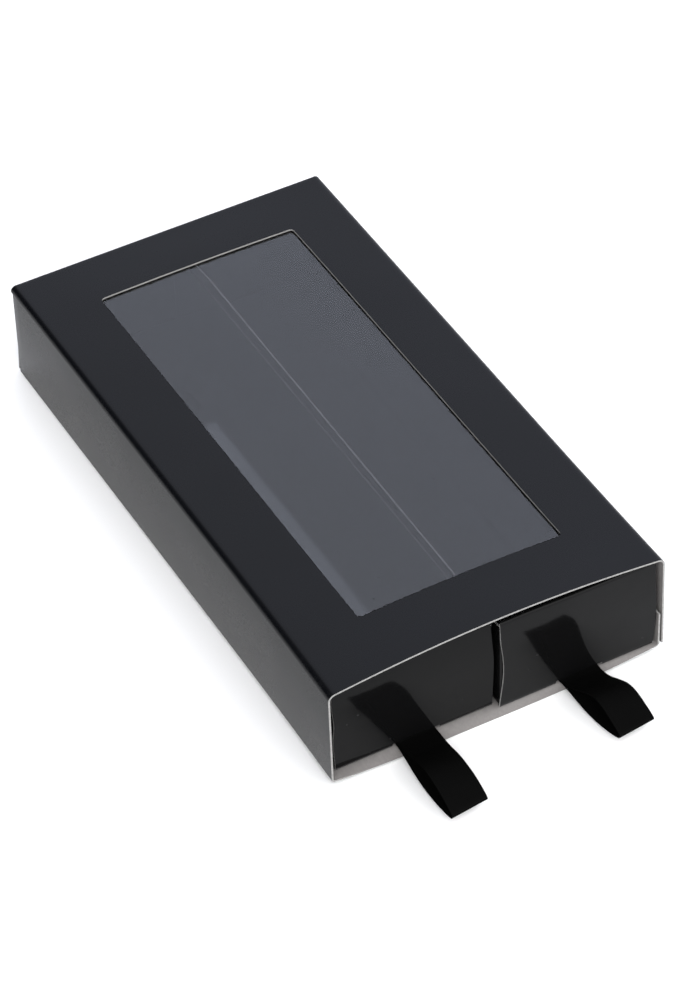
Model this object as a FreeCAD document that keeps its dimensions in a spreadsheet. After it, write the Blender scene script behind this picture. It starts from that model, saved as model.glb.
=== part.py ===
"""Sliding drawer gift box: a folded card sleeve with a film window, holding two card trays side by side.

Row frame, millimetres: +Z up, X across the box, Y along it with the mouth of the sleeve at -Y.
The origin is the centre of the sleeve's flat underside.
"""
import FreeCAD, Part
import math
import os
from collections import namedtuple

import Sketcher
from FreeCAD import Vector

doc = FreeCAD.newDocument("gift_box")
sizes = doc.addObject("Spreadsheet::Sheet", "sizes")

# Driving dimensions in millimetres: alias, value, what it is.
DIMENSIONS = [
    ("sleeve_width", 95, "outside width of the sleeve"),
    ("sleeve_length", 180, "outside length of the sleeve"),
    ("sleeve_height", 30, "outside height of the sleeve along its side folds"),
    ("sleeve_card", 0.5, "thickness of the sleeve's card"),
    ("sleeve_fold", 0.8, "outside radius of the sleeve's folds"),
    ("mouth_bow", 3.1, "how far the top panel bulges up at the mouth"),
    ("front_bow", 2.3, "the same at the window's front edge"),
    ("middle_bow", 2.0, "the same at the middle of the sleeve"),
    ("rear_bow", 1.0, "the same at the window's rear edge"),
    ("back_bow", 0.05, "the same at the closed back"),
    ("lip_drop", 1.9, "how far the bottom panel bulges down at the mouth"),
    ("lip_mid_drop", 0.5, "the same half way along the bulged stretch"),
    ("lip_length", 65, "length of the bottom panel's bulged stretch"),
    ("seam_flap_height", 11.1, "height of the glue flap inside the right wall"),
    ("seam_glue_gap", 0.1, "thickness of the glue line in the side seam"),
    ("seam_foot", 0.5, "how far the right wall's cut edge stays above the underside"),
    ("back_flap_height", 13, "height of the bottom panel's flap inside the back panel"),
    ("back_flap_width", 20, "width of the side walls' dust flaps at the back"),
    ("glue_skin", 0.025, "how far a glue line's solid stays off the card on each side of it"),
    ("back_glue_gap", 0.1, "thickness of the glue patch at the back"),
    ("back_glue_width", 70, "width of the glue patch at the back"),
    ("back_glue_height", 8, "height of the glue patch at the back"),
    ("back_panel_inset", 0.3, "how far the back panel's cut edges stay inside the sleeve's sides"),
    ("window_width", 58, "width of the window cut-out"),
    ("window_length", 142, "length of the window cut-out"),
    ("window_round", 1.2, "corner radius of the window cut-out"),
    ("film_thickness", 0.2, "thickness of the clear film"),
    ("film_overlap", 8, "how far the film reaches past the window on each side"),
    ("film_glue_gap", 0.15, "thickness of the glue between the film and the top panel"),
    ("film_glue_width", 5, "width of the glue frame round the window"),
    ("film_glue_start", 2, "distance from the window's edge to the glue frame"),
    ("tray_middle_gap", 1.05, "free space between the two trays"),
    ("tray_end_gap", 0.5, "play between a closed tray and the sleeve's back flaps"),
    ("tray_top_gap", 0.4, "play between a tray's front and back walls and the top panel's lowest folds"),
    ("tray_side_drop", 4.1, "how much lower a tray's long walls are than its front and back walls"),
    ("tray_card", 0.45, "thickness of the trays' card"),
    ("tray_fold", 0.7, "outside radius of the trays' folds"),
    ("tray_wall_gap", 1.3, "free space between the two layers of a tray's front and back walls"),
    ("tray_layer_gap", 0.15, "play between layers of tray card that only lie against each other"),
    ("tray_flap_width", 12, "width of the dust flaps inside a tray's front and back walls"),
    ("tab_start", 12, "distance from a tray's middle to the locking tabs of its front and back walls"),
    ("tab_width", 8, "width of each locking tab"),
    ("tab_play", 0.12, "play between a locking tab and its slot in the floor"),
    ("tray_left_gap", 1.3, "play between the left tray and the sleeve's left wall"),
    ("tray_right_gap", 0.25, "play between the right tray and the glue flap"),
    ("tray_lift", 0.2, "play between a tray and the bottom panel"),
    ("tray_setback", 2.4, "distance from the mouth to the left tray's front"),
    ("tray_pull", 1.7, "how much nearer to the mouth the right tray rests than the left one"),
    ("slot_width", 12.7, "width of the ribbon slot in a tray's front fold"),
    ("slot_rise", 1.1, "height of the ribbon slot in the front panel"),
    ("ribbon_width", 10.8, "width of the ribbon"),
    ("ribbon_thickness", 0.35, "thickness of the ribbon"),
    ("ribbon_play", 0.05, "play between the ribbon and what lies against it"),
    ("ribbon_bend", 0.5, "radius of the upper layer's turn in the slot, on its middle line"),
    ("ribbon_tail", 11, "length of each ribbon end inside the front wall"),
    ("loop_reach_left", 28.6, "how far the left ribbon loop stands out from its tray"),
    ("loop_reach_right", 24.3, "the same for the right one"),
    ("loop_tip_radius", 2.1, "radius of the loop's outer end, here and below on the ribbon's middle line"),
    ("loop_tip_height", 2.2, "height of the middle of the loop's outer end above the tray's underside"),
    ("loop_crest_radius", 27.5, "radius of the upper layer's arch"),
    ("loop_root_radius", 8.6, "radius of the upper layer's hollow next to the slot"),
    ("loop_sag_radius", 46.5, "radius of the lower layer's sag"),
    ("loop_dive_radius", 36, "radius of the lower layer's first bend down from the slot"),
    ("tape_width", 17, "width of the tape that holds the ribbon's ends"),
    ("tape_height", 8, "height of that tape"),
    ("tape_thickness", 0.12, "thickness of that tape"),
]
for row, (alias, number, note) in enumerate(DIMENSIONS, start=1):
    sizes.set(f"A{row}", note)
    sizes.set(f"B{row}", str(number))
    sizes.setAlias(f"B{row}", alias)
doc.recompute()


class Size:
    """A length kept twice: as an expression of the sheet's cells, and as the number it comes to now."""

    def __init__(self, text, number):
        self.text = text
        self.value = number

    @staticmethod
    def of(other):
        return other if isinstance(other, Size) else Size(str(other), float(other))

    def __add__(self, other):
        other = Size.of(other)
        return Size(f"({self.text} + {other.text})", self.value + other.value)

    def __sub__(self, other):
        other = Size.of(other)
        return Size(f"({self.text} - {other.text})", self.value - other.value)

    def __mul__(self, other):
        other = Size.of(other)
        return Size(f"({self.text} * {other.text})", self.value * other.value)

    def __truediv__(self, other):
        other = Size.of(other)
        return Size(f"({self.text} / {other.text})", self.value / other.value)

    def __neg__(self):
        return Size(f"(0 - {self.text})", -self.value)


class Cells:
    """Gives each of the sheet's cells as a Size, by its alias."""

    def __getattr__(self, alias):
        return Size(f"sizes.{alias}", float(sizes.get(alias)))


cell = Cells()
ZERO = Size.of(0)

# ---------------------------------------------------------------- sketches


def plane_of(body, role):
    return next(feature for feature in body.Origin.OriginFeatures if feature.Role == role)


def new_sketch(body, name, role, offset=ZERO):
    """A sketch on one of the body's own origin planes, moved along that plane's normal."""
    sketch = body.newObject("Sketcher::SketchObject", name)
    sketch.AttachmentSupport = [(plane_of(body, role), "")]
    sketch.MapMode = "FlatFace"
    sketch.setExpression("AttachmentOffset.Base.z", offset.text)
    return sketch


def upright(across):
    return ("upright", across)


def level(up):
    return ("level", up)


def bow(centre, radius, side):
    """An arc centred on the sketch's upright axis; side is 1 where it arches over, -1 where it sags."""
    return ("bow", centre, radius, side)


def sharp_corner(first, second):
    """Where two neighbouring sides would meet with no rounding."""
    if first[0] != "upright":
        first, second = second, first
    across = first[1].value
    if second[0] == "level":
        return Vector(across, second[1].value)
    centre, radius, side = second[1].value, second[2].value, second[3]
    return Vector(across, centre + side * math.sqrt(radius**2 - across**2))


def direction(side, start, end):
    """The way an outline runs along one side, as a unit vector along an axis."""
    if side[0] == "upright":
        return Vector(0, math.copysign(1, end.y - start.y))
    return Vector(math.copysign(1, end.x - start.x), 0)


def round_centre(first, second, corner, come, go, radius):
    """The middle of the arc that rounds a corner off."""
    centre = corner - come * radius + go * radius
    for side in (first, second):
        if side[0] == "bow":
            inside = side[2].value - radius
            centre.y = side[1].value + side[3] * math.sqrt(inside**2 - centre.x**2)
    return centre


def touch_point(side, centre):
    """Where the arc round centre leaves one of its two sides."""
    if side[0] == "upright":
        return Vector(side[1].value, centre.y)
    if side[0] == "level":
        return Vector(centre.x, side[1].value)
    middle = Vector(0, side[1].value)
    return middle + (centre - middle).normalize() * side[2].value


def add_arc(sketch, centre, start, end, anticlockwise):
    """Adds an arc and gives its index with the point numbers of its start and its end."""
    if not anticlockwise:
        start, end = end, start
    first, last = (math.atan2(p.y - centre.y, p.x - centre.x) for p in (start, end))
    circle = Part.Circle(centre, Vector(0, 0, 1), (start - centre).Length)
    index = sketch.addGeometry(Part.ArcOfCircle(circle, first, last), False)
    return (index, 1, 2) if anticlockwise else (index, 2, 1)


def bind(sketch, size, kind, *where):
    """Adds a dimension to a sketch and ties it to an expression."""
    index = sketch.addConstraint(Sketcher.Constraint(kind, *where, size.value))
    sketch.setExpression(f"Constraints[{index}]", size.text)


def draw_outline(sketch, sides, rounds=None):
    """Draws one closed outline. Side i meets the next side at corner i, rounded by rounds[i]."""
    count = len(sides)
    rounds = rounds or [None] * count
    corners = [sharp_corner(sides[i], sides[(i + 1) % count]) for i in range(count)]
    ways = [direction(sides[i], corners[i - 1], corners[i]) for i in range(count)]
    arrive, leave, centres = [], [], []
    for i, corner in enumerate(corners):
        after = (i + 1) % count
        if rounds[i] is None:
            arrive.append(corner)
            leave.append(corner)
            centres.append(None)
            continue
        centre = round_centre(sides[i], sides[after], corner, ways[i], ways[after], rounds[i].value)
        arrive.append(touch_point(sides[i], centre))
        leave.append(touch_point(sides[after], centre))
        centres.append(centre)
    drawn = []
    for i, side in enumerate(sides):
        start, end = leave[i - 1], arrive[i]
        if side[0] == "bow":
            turns_left = (end.x < start.x) == (side[3] > 0)
            middle = Vector(0, side[1].value)
            drawn.append(add_arc(sketch, middle, start, end, turns_left))
        else:
            drawn.append((sketch.addGeometry(Part.LineSegment(start, end), False), 1, 2))
    for i in range(count):
        after = (i + 1) % count
        (here, _, here_end), (there, there_start, _) = drawn[i], drawn[after]
        if centres[i] is None:
            sketch.addConstraint(Sketcher.Constraint("Coincident", here, here_end, there, there_start))
            continue
        turns_left = ways[i].x * ways[after].y - ways[i].y * ways[after].x > 0
        arc, arc_start, arc_end = add_arc(sketch, centres[i], arrive[i], leave[i], turns_left)
        sketch.addConstraint(Sketcher.Constraint("Tangent", here, here_end, arc, arc_start))
        sketch.addConstraint(Sketcher.Constraint("Tangent", arc, arc_end, there, there_start))
        bind(sketch, rounds[i], "Radius", arc)
    for side, (index, _, _) in zip(sides, drawn):
        if side[0] == "upright":
            sketch.addConstraint(Sketcher.Constraint("Vertical", index))
            bind(sketch, side[1], "DistanceX", -1, 1, index, 1)
        elif side[0] == "level":
            sketch.addConstraint(Sketcher.Constraint("Horizontal", index))
            bind(sketch, side[1], "DistanceY", -1, 1, index, 1)
        else:
            sketch.addConstraint(Sketcher.Constraint("PointOnObject", index, 3, -2))
            bind(sketch, side[1], "DistanceY", -1, 1, index, 3)
            bind(sketch, side[2], "Radius", index)


def draw_rectangle(sketch, left, right, low, high, corner=None):
    sides = [upright(left), level(high), upright(right), level(low)]
    draw_outline(sketch, sides, [corner] * 4 if corner else None)


# ---------------------------------------------------------------- features


def new_body(name):
    body = doc.addObject("PartDesign::Body", name)
    body.Label = name
    return body


def pad(body, name, sketch, length, both_ways=False, reverse=False):
    feature = body.newObject("PartDesign::Pad", name)
    feature.Profile = sketch
    feature.Refine = False
    feature.setExpression("Length", length.text)
    feature.SideType = "Symmetric" if both_ways else "One side"
    feature.Reversed = reverse
    return feature


def loft(body, name, sketches):
    feature = body.newObject("PartDesign::AdditiveLoft", name)
    feature.Profile = sketches[0]
    feature.Sections = sketches[1:]
    feature.Ruled = False
    feature.Refine = False
    return feature


def pocket(body, name, sketch, length, both_ways=False):
    """Cuts along the sketch's normal and makes sure that something was cut away."""
    doc.recompute()
    before = body.Shape.Volume
    feature = body.newObject("PartDesign::Pocket", name)
    feature.Profile = sketch
    feature.Refine = False
    feature.setExpression("Length", length.text)
    feature.SideType = "Symmetric" if both_ways else "One side"
    feature.Reversed = not both_ways
    doc.recompute()
    if body.Shape.Volume >= before:
        raise RuntimeError(f"{name} cuts nothing from {body.Label}")
    return feature


def place(body, across, along, up):
    for axis, size in zip("xyz", (across, along, up)):
        body.setExpression(f"Placement.Base.{axis}", size.text)


# ---------------------------------------------------------------- sleeve

half_width = cell.sleeve_width / 2
mouth = -cell.sleeve_length / 2
back = cell.sleeve_length / 2
card = cell.sleeve_card
fold = cell.sleeve_fold
wall_root = fold * 2
back_panel_inside = back - card
back_glue_inside = back_panel_inside - cell.back_glue_gap
back_flap_inside = back_glue_inside - card
dust_flap_inside = back_flap_inside - card
seam_flap_outside = half_width - card - cell.seam_glue_gap
seam_flap_end = dust_flap_inside - fold
wall_end = back_flap_inside
bulge_start = mouth + cell.lip_length

# Stations along the sleeve where the top panel's bulge is known: place along Y, height of the bulge.
TOP_STATIONS = [
    ("mouth", mouth, cell.mouth_bow),
    ("window_front", -cell.window_length / 2, cell.front_bow),
    ("middle", ZERO, cell.middle_bow),
    ("window_rear", cell.window_length / 2, cell.rear_bow),
    ("back", wall_end, cell.back_bow),
]


def bow_radius(rise):
    """Radius of the arc that spans the sleeve's width and rises by the given height."""
    return (half_width * half_width + rise * rise) / (rise * 2)


def arched(rise, depth=ZERO):
    """The top panel's arc, or one that lies depth under its outer face."""
    radius = bow_radius(rise)
    return bow(cell.sleeve_height + rise - radius, radius - depth, 1)


def sagging(drop, depth=ZERO):
    """The bottom panel's arc, or one that lies depth inside its outer face."""
    radius = bow_radius(drop)
    return bow(radius - drop, radius - depth, -1)


def station_sketch(body, name, along):
    """A sketch across the box; its normal is -Y, so its offset is the station's place turned round."""
    return new_sketch(body, name, "XZ_Plane", -along)


def draw_upper_shell(sketch, rise):
    """Left wall, bulged top and right wall as one folded sheet."""
    sides = [
        upright(-half_width),
        arched(rise),
        upright(half_width),
        level(cell.seam_foot),
        upright(half_width - card),
        arched(rise, card),
        upright(card - half_width),
        level(wall_root),
    ]
    inner = fold - card
    draw_outline(sketch, sides, [fold, fold, None, None, inner, inner, None, None])


def draw_lower_shell(sketch, drop=None):
    """Foot of the left wall, bottom panel and glue flap as one folded sheet."""
    sides = [
        level(wall_root),
        upright(-half_width),
        sagging(drop) if drop else level(ZERO),
        upright(seam_flap_outside),
        level(cell.seam_flap_height),
        upright(seam_flap_outside - card),
        sagging(drop, card) if drop else level(card),
        upright(card - half_width),
    ]
    inner = fold - card
    draw_outline(sketch, sides, [None, fold, fold, None, None, inner, inner, None])


def draw_rear_bottom(sketch):
    """The last stretch of the bottom panel, past the end of the glue flap."""
    sides = [
        level(wall_root),
        upright(-half_width),
        level(ZERO),
        upright(seam_flap_outside),
        level(card),
        upright(card - half_width),
    ]
    draw_outline(sketch, sides, [None, fold, None, None, fold - card, None])


def build_sleeve():
    body = new_body("sleeve")
    shell_sketches = []
    for name, along, rise in TOP_STATIONS:
        sketch = station_sketch(body, f"shell_at_{name}", along)
        draw_upper_shell(sketch, rise)
        shell_sketches.append(sketch)
    loft(body, "upper_shell", shell_sketches)

    flat_bottom = station_sketch(body, "flat_bottom_outline", bulge_start)
    draw_lower_shell(flat_bottom)
    pad(body, "flat_bottom", flat_bottom, seam_flap_end - bulge_start, reverse=True)

    rear_bottom = station_sketch(body, "rear_bottom_outline", seam_flap_end)
    draw_rear_bottom(rear_bottom)
    pad(body, "rear_bottom", rear_bottom, wall_end - seam_flap_end, reverse=True)

    lip_sketches = []
    for name, along, drop in (
        ("bulge_start", bulge_start, None),
        ("bulge_middle", (mouth + bulge_start) / 2, cell.lip_mid_drop),
        ("bulge_mouth", mouth, cell.lip_drop),
    ):
        sketch = station_sketch(body, f"bottom_at_{name}", along)
        draw_lower_shell(sketch, drop)
        lip_sketches.append(sketch)
    loft(body, "bulged_bottom", lip_sketches)

    back_sketch = new_sketch(body, "back_panel_outline", "YZ_Plane")
    draw_outline(
        back_sketch,
        [
            level(cell.sleeve_height),
            upright(back),
            level(cell.seam_foot),
            upright(back_panel_inside),
            level(cell.sleeve_height - card),
            upright(wall_end),
        ],
        [fold, None, None, fold - card, None, None],
    )
    pad(body, "back_panel", back_sketch, (half_width - cell.back_panel_inset) * 2, both_ways=True)

    flap_sketch = new_sketch(body, "back_flap_outline", "YZ_Plane")
    draw_outline(
        flap_sketch,
        [
            level(ZERO),
            upright(back_glue_inside),
            level(cell.back_flap_height),
            upright(back_flap_inside),
            level(card),
            upright(seam_flap_end),
        ],
        [fold, None, None, fold - card, None, None],
    )
    pad(body, "back_flap", flap_sketch, (half_width - card * 2) * 2, both_ways=True)

    for side, sign in (("left", -1), ("right", 1)):
        root = (half_width - card) * sign
        end = (half_width - card - cell.back_flap_width) * sign
        low, high = (root, end) if sign < 0 else (end, root)
        dust_sketch = station_sketch(body, f"dust_flap_{side}_outline", back_flap_inside)
        draw_rectangle(dust_sketch, low, high, card * 2, cell.sleeve_height - card * 2)
        pad(body, f"dust_flap_{side}", dust_sketch, card)

    window_sketch = new_sketch(body, "window_outline", "XY_Plane", cell.sleeve_height / 2)
    draw_rectangle(
        window_sketch,
        -cell.window_width / 2,
        cell.window_width / 2,
        -cell.window_length / 2,
        cell.window_length / 2,
        cell.window_round,
    )
    pocket(body, "window", window_sketch, cell.sleeve_height)
    return body


def build_under_top(name, depth, thickness, reach, hole=None):
    """A thin layer under the top panel that follows its bulge, trimmed to reach past the window."""
    body = new_body(name)
    half_strip = half_width - fold
    sketches = []
    for station, along, rise in TOP_STATIONS:
        sketch = station_sketch(body, f"layer_at_{station}", along)
        sides = [
            upright(-half_strip),
            arched(rise, depth),
            upright(half_strip),
            arched(rise, depth + thickness),
        ]
        draw_outline(sketch, sides)
        sketches.append(sketch)
    loft(body, "layer", sketches)

    trim_sketch = new_sketch(body, "trim_outline", "XY_Plane", cell.sleeve_height / 2)
    half_x, half_y = cell.window_width / 2, cell.window_length / 2
    far_x, far_y = cell.sleeve_width, cell.sleeve_length
    draw_rectangle(trim_sketch, -far_x, far_x, -far_y, far_y)
    draw_rectangle(trim_sketch, -half_x - reach, half_x + reach, -half_y - reach, half_y + reach)
    pocket(body, "trim", trim_sketch, cell.sleeve_height)
    if hole:
        hole_sketch = new_sketch(body, "hole_outline", "XY_Plane", cell.sleeve_height / 2)
        draw_rectangle(hole_sketch, -half_x - hole, half_x + hole, -half_y - hole, half_y + hole)
        pocket(body, "hole", hole_sketch, cell.sleeve_height)
    return body


def build_window_film():
    depth = card + cell.film_glue_gap
    return build_under_top("window_film", depth, cell.film_thickness, cell.film_overlap)


def build_window_glue():
    start = cell.film_glue_start
    depth = card + cell.glue_skin
    thickness = cell.film_glue_gap - cell.glue_skin * 2
    return build_under_top("window_glue", depth, thickness, start + cell.film_glue_width, start)


def build_seam_glue():
    """The glue line between the right wall and the flap inside it."""
    body = new_body("seam_glue")
    sketch = station_sketch(body, "outline", mouth + fold)
    draw_rectangle(
        sketch,
        seam_flap_outside + cell.glue_skin,
        half_width - card - cell.glue_skin,
        fold * 2,
        cell.seam_flap_height - fold,
    )
    pad(body, "line", sketch, seam_flap_end - mouth - fold * 2, reverse=True)
    return body


def build_back_glue():
    """The glue patch between the back panel and the bottom panel's flap."""
    body = new_body("back_glue")
    sketch = station_sketch(body, "outline", back_panel_inside)
    low = (cell.back_flap_height - cell.back_glue_height) / 2
    half_patch = cell.back_glue_width / 2
    draw_rectangle(sketch, -half_patch, half_patch, low, low + cell.back_glue_height)
    pad(body, "patch", sketch, cell.back_glue_gap)
    return body


# ---------------------------------------------------------------- trays and their ribbons

tray_card = cell.tray_card
tray_fold = cell.tray_fold
end_wall = tray_card * 2 + cell.tray_wall_gap
bay_left = card + cell.tray_left_gap - half_width
bay_right = seam_flap_outside - card - cell.tray_right_gap
tray_width = (bay_right - bay_left - cell.tray_middle_gap) / 2
half_tray = tray_width / 2
left_front = mouth + cell.tray_setback
right_front = left_front - cell.tray_pull
tray_length = dust_flap_inside - cell.tray_end_gap - left_front
tray_height = cell.sleeve_height - card * 2 - cell.tray_lift - cell.tray_top_gap
tray_side_height = tray_height - cell.tray_side_drop

Tray = namedtuple("Tray", "side across front loop_reach")
TRAYS = [
    Tray("left", bay_left + half_tray, left_front, cell.loop_reach_left),
    Tray("right", bay_right - half_tray, right_front, cell.loop_reach_right),
]

# A tray's own frame: X across from its middle, Y back from its front face, Z up from its underside.


def place_tray(body, tray):
    place(body, tray.across, tray.front, card + cell.tray_lift)


def build_tray(tray):
    body = new_body(f"tray_{tray.side}")
    length, height = tray_length, tray_height
    inner = tray_fold - tray_card

    sheet_sketch = new_sketch(body, "rolled_sheet_outline", "YZ_Plane")
    sides = [
        level(height),
        upright(ZERO),
        level(ZERO),
        upright(length),
        level(height),
        upright(length - end_wall),
        level(height - tray_card),
        upright(length - tray_card),
        level(tray_card),
        upright(tray_card),
        level(height - tray_card),
        upright(end_wall),
    ]
    rounds = [tray_fold] * 4 + [None] * 2 + [inner] * 4 + [None] * 2
    draw_outline(sheet_sketch, sides, rounds)
    pad(body, "rolled_sheet", sheet_sketch, tray_width, both_ways=True)

    inner_sketch = new_sketch(body, "inner_panel_outlines", "YZ_Plane")
    low, high = tray_card + cell.tray_layer_gap, height - tray_card
    draw_rectangle(inner_sketch, end_wall - tray_card, end_wall, low, high)
    draw_rectangle(inner_sketch, length - end_wall, length - end_wall + tray_card, low, high)
    inner_width = tray_width - (tray_card + cell.tray_layer_gap) * 2
    pad(body, "inner_panels", inner_sketch, inner_width, both_ways=True)

    front_layer = tray_card + cell.tray_layer_gap
    back_layer = length - tray_card - cell.tray_layer_gap
    for wall, sign in (("left", -1), ("right", 1)):
        outside, inside = half_tray * sign, (half_tray - tray_card) * sign
        left, right = (outside, inside) if sign < 0 else (inside, outside)
        wall_sketch = new_sketch(body, f"{wall}_wall_outline", "XY_Plane", tray_card)
        draw_rectangle(wall_sketch, left, right, front_layer, back_layer)
        pad(body, f"{wall}_wall", wall_sketch, tray_side_height - tray_card)

        flap_end = (half_tray - cell.tray_flap_width) * sign
        left, right = (outside, flap_end) if sign < 0 else (flap_end, outside)
        flap_sketch = new_sketch(body, f"{wall}_flap_outlines", "XY_Plane", tray_card + cell.tray_layer_gap)
        draw_rectangle(flap_sketch, left, right, front_layer, front_layer + tray_card)
        draw_rectangle(flap_sketch, left, right, back_layer - tray_card, back_layer)
        flap_height = tray_side_height - tray_card - cell.tray_layer_gap
        pad(body, f"{wall}_flaps", flap_sketch, flap_height)

    cut_sketch = new_sketch(body, "tab_slot_outlines", "XY_Plane")
    tab_sketch = new_sketch(body, "tab_outlines", "XY_Plane")
    for near in (end_wall - tray_card, length - end_wall):
        for start in (cell.tab_start, -cell.tab_start - cell.tab_width):
            play = cell.tab_play
            draw_rectangle(tab_sketch, start, start + cell.tab_width, near, near + tray_card)
            draw_rectangle(
                cut_sketch,
                start - play,
                start + cell.tab_width + play,
                near - play,
                near + tray_card + play,
            )
    pocket(body, "tab_slots", cut_sketch, tray_card)
    pad(body, "tabs", tab_sketch, tray_card + cell.tray_layer_gap)

    slot_sketch = new_sketch(body, "ribbon_slot_outline", "XY_Plane")
    half_slot = cell.slot_width / 2
    draw_rectangle(slot_sketch, -half_slot, half_slot, -tray_fold, end_wall - tray_card)
    pocket(body, "ribbon_slot", slot_sketch, cell.slot_rise)
    place_tray(body, tray)
    return body


front_tail = tray_card + cell.ribbon_play + cell.ribbon_thickness / 2
rear_tail = front_tail + cell.ribbon_thickness + cell.ribbon_play
bend_middle = front_tail - cell.ribbon_bend
bend_height = cell.slot_rise + cell.ribbon_play
wide_bend = cell.ribbon_bend + cell.ribbon_thickness + cell.ribbon_play
tip_depth = cell.loop_tip_radius + cell.ribbon_thickness / 2


def meeting_point(first, first_radius, second, second_radius, side):
    """Where two circles cross: side is 1 or -1 and picks the crossing left or right of first to second."""
    way = second - first
    span = way.Length
    along = (span**2 + first_radius**2 - second_radius**2) / (2 * span)
    across = math.sqrt(first_radius**2 - along**2)
    way.normalize()
    return first + way * along + Vector(-way.y, way.x) * across * side


def ribbon_arcs(loop_reach):
    """The arcs of the ribbon's middle line in order, each as middle, radius and whether it turns left."""
    dive, sag = cell.loop_dive_radius, cell.loop_sag_radius
    tip, crest, root = cell.loop_tip_radius, cell.loop_crest_radius, cell.loop_root_radius
    bend = Vector(bend_middle.value, bend_height.value)
    dive_middle = bend - Vector(0, wide_bend.value + dive.value)
    root_middle = bend + Vector(0, root.value - cell.ribbon_bend.value)
    tip_spot = Vector((tip_depth - loop_reach).value, cell.loop_tip_height.value)
    sag_middle = meeting_point(dive_middle, (dive + sag).value, tip_spot, (sag - tip).value, -1)
    crest_middle = meeting_point(root_middle, (root + crest).value, tip_spot, (crest - tip).value, 1)
    return [
        (bend, wide_bend, False),
        (dive_middle, dive, True),
        (sag_middle, sag, False),
        (tip_spot, tip, False),
        (crest_middle, crest, False),
        (root_middle, root, True),
        (bend, cell.ribbon_bend, True),
    ]


def draw_ribbon_path(sketch, loop_reach):
    """The ribbon's middle line: down inside the front wall, out through the slot, round the loop and back."""
    top = bend_height + cell.ribbon_tail
    arcs = ribbon_arcs(loop_reach)
    bend = arcs[0][0]
    stops = [Vector(rear_tail.value, bend.y)]
    for here, there in zip(arcs, arcs[1:]):
        way = (there[0] - here[0]).normalize()
        if here[2] == there[2] and there[1].value > here[1].value:
            way = -way
        stops.append(here[0] + way * here[1].value)
    stops.append(Vector(front_tail.value, bend.y))
    stops[1] = bend - Vector(0, wide_bend.value)
    stops[-2] = bend - Vector(0, cell.ribbon_bend.value)

    rear_top, front_top = (Vector(place.value, top.value) for place in (rear_tail, front_tail))
    first = sketch.addGeometry(Part.LineSegment(rear_top, stops[0]), False)
    previous = (first, 2)
    drawn = []
    for i, (middle, radius, turns_left) in enumerate(arcs):
        index, start, end = add_arc(sketch, middle, stops[i], stops[i + 1], turns_left)
        sketch.addConstraint(Sketcher.Constraint("Tangent", previous[0], previous[1], index, start))
        bind(sketch, radius, "Radius", index)
        previous = (index, end)
        drawn.append((index, end))
    last = sketch.addGeometry(Part.LineSegment(stops[-1], front_top), False)
    sketch.addConstraint(Sketcher.Constraint("Tangent", previous[0], previous[1], last, 1))

    tip_arc = drawn[3][0]
    bind(sketch, tip_depth - loop_reach, "DistanceX", -1, 1, tip_arc, 3)
    bind(sketch, cell.loop_tip_height, "DistanceY", -1, 1, tip_arc, 3)
    bind(sketch, bend_middle, "DistanceX", -1, 1, *drawn[0])
    bind(sketch, bend_middle, "DistanceX", -1, 1, *drawn[5])
    for line, place, top_end, low_end in ((first, rear_tail, 1, 2), (last, front_tail, 2, 1)):
        sketch.addConstraint(Sketcher.Constraint("Vertical", line))
        bind(sketch, place, "DistanceX", -1, 1, line, top_end)
        bind(sketch, top, "DistanceY", -1, 1, line, top_end)
        bind(sketch, bend_height, "DistanceY", -1, 1, line, low_end)


def build_ribbon(tray):
    body = new_body(f"ribbon_{tray.side}")
    path = new_sketch(body, "path", "YZ_Plane")
    draw_ribbon_path(path, tray.loop_reach)
    top = bend_height + cell.ribbon_tail
    section = new_sketch(body, "section", "XY_Plane", top)
    half_ribbon, half_sheet = cell.ribbon_width / 2, cell.ribbon_thickness / 2
    draw_rectangle(section, -half_ribbon, half_ribbon, rear_tail - half_sheet, rear_tail + half_sheet)
    doc.recompute()
    sweep = body.newObject("PartDesign::AdditivePipe", "strip")
    sweep.Profile = section
    sweep.Spine = path
    sweep.Mode = "Standard"
    sweep.Refine = False
    place_tray(body, tray)
    return body


def build_ribbon_tape(tray):
    body = new_body(f"ribbon_tape_{tray.side}")
    top = bend_height + cell.ribbon_tail
    sketch = new_sketch(body, "outline", "XY_Plane", top - cell.tape_height)
    near = rear_tail + cell.ribbon_thickness / 2 + cell.ribbon_play
    half_tape = cell.tape_width / 2
    draw_rectangle(sketch, -half_tape, half_tape, near, near + cell.tape_thickness)
    pad(body, "tape", sketch, cell.tape_height)
    place_tray(body, tray)
    return body


# ---------------------------------------------------------------- assembly

bodies = [
    build_sleeve(),
    build_window_film(),
    build_window_glue(),
    build_seam_glue(),
    build_back_glue(),
]
for tray in TRAYS:
    bodies += [build_tray(tray), build_ribbon(tray), build_ribbon_tape(tray)]
doc.recompute()

for item in doc.Objects:
    if {"Invalid", "Error"} & set(item.State):
        raise RuntimeError(f"{item.Name} failed: {item.State}")
os.makedirs("parts", exist_ok=True)
for body in bodies:
    shape = body.Shape
    if shape.isNull() or not shape.isValid() or not shape.Solids:
        raise RuntimeError(f"{body.Label} has no valid solid")
    shape.exportStep(f"parts/{body.Label}.step")
    box = shape.BoundBox
    print(
        f"{body.Label:20s} solids {len(shape.Solids)} volume {shape.Volume:10.2f} "
        f"x {box.XMin:8.2f} {box.XMax:8.2f} y {box.YMin:8.2f} {box.YMax:8.2f} z {box.ZMin:7.2f} {box.ZMax:7.2f}"
    )
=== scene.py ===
"""Sliding drawer gift box: black folding card sleeve with a film window, two card trays with ribbon pulls.

Every shape is made in millimetres about the frame's origin and scaled to metres at the end of its making:
X runs across the box, Y from the mouth to the closed back and Z up. Zero is at the middle of the sleeve's
flat underside.
"""
import math

import bmesh
import bpy
from mathutils import Matrix, Vector


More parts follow.
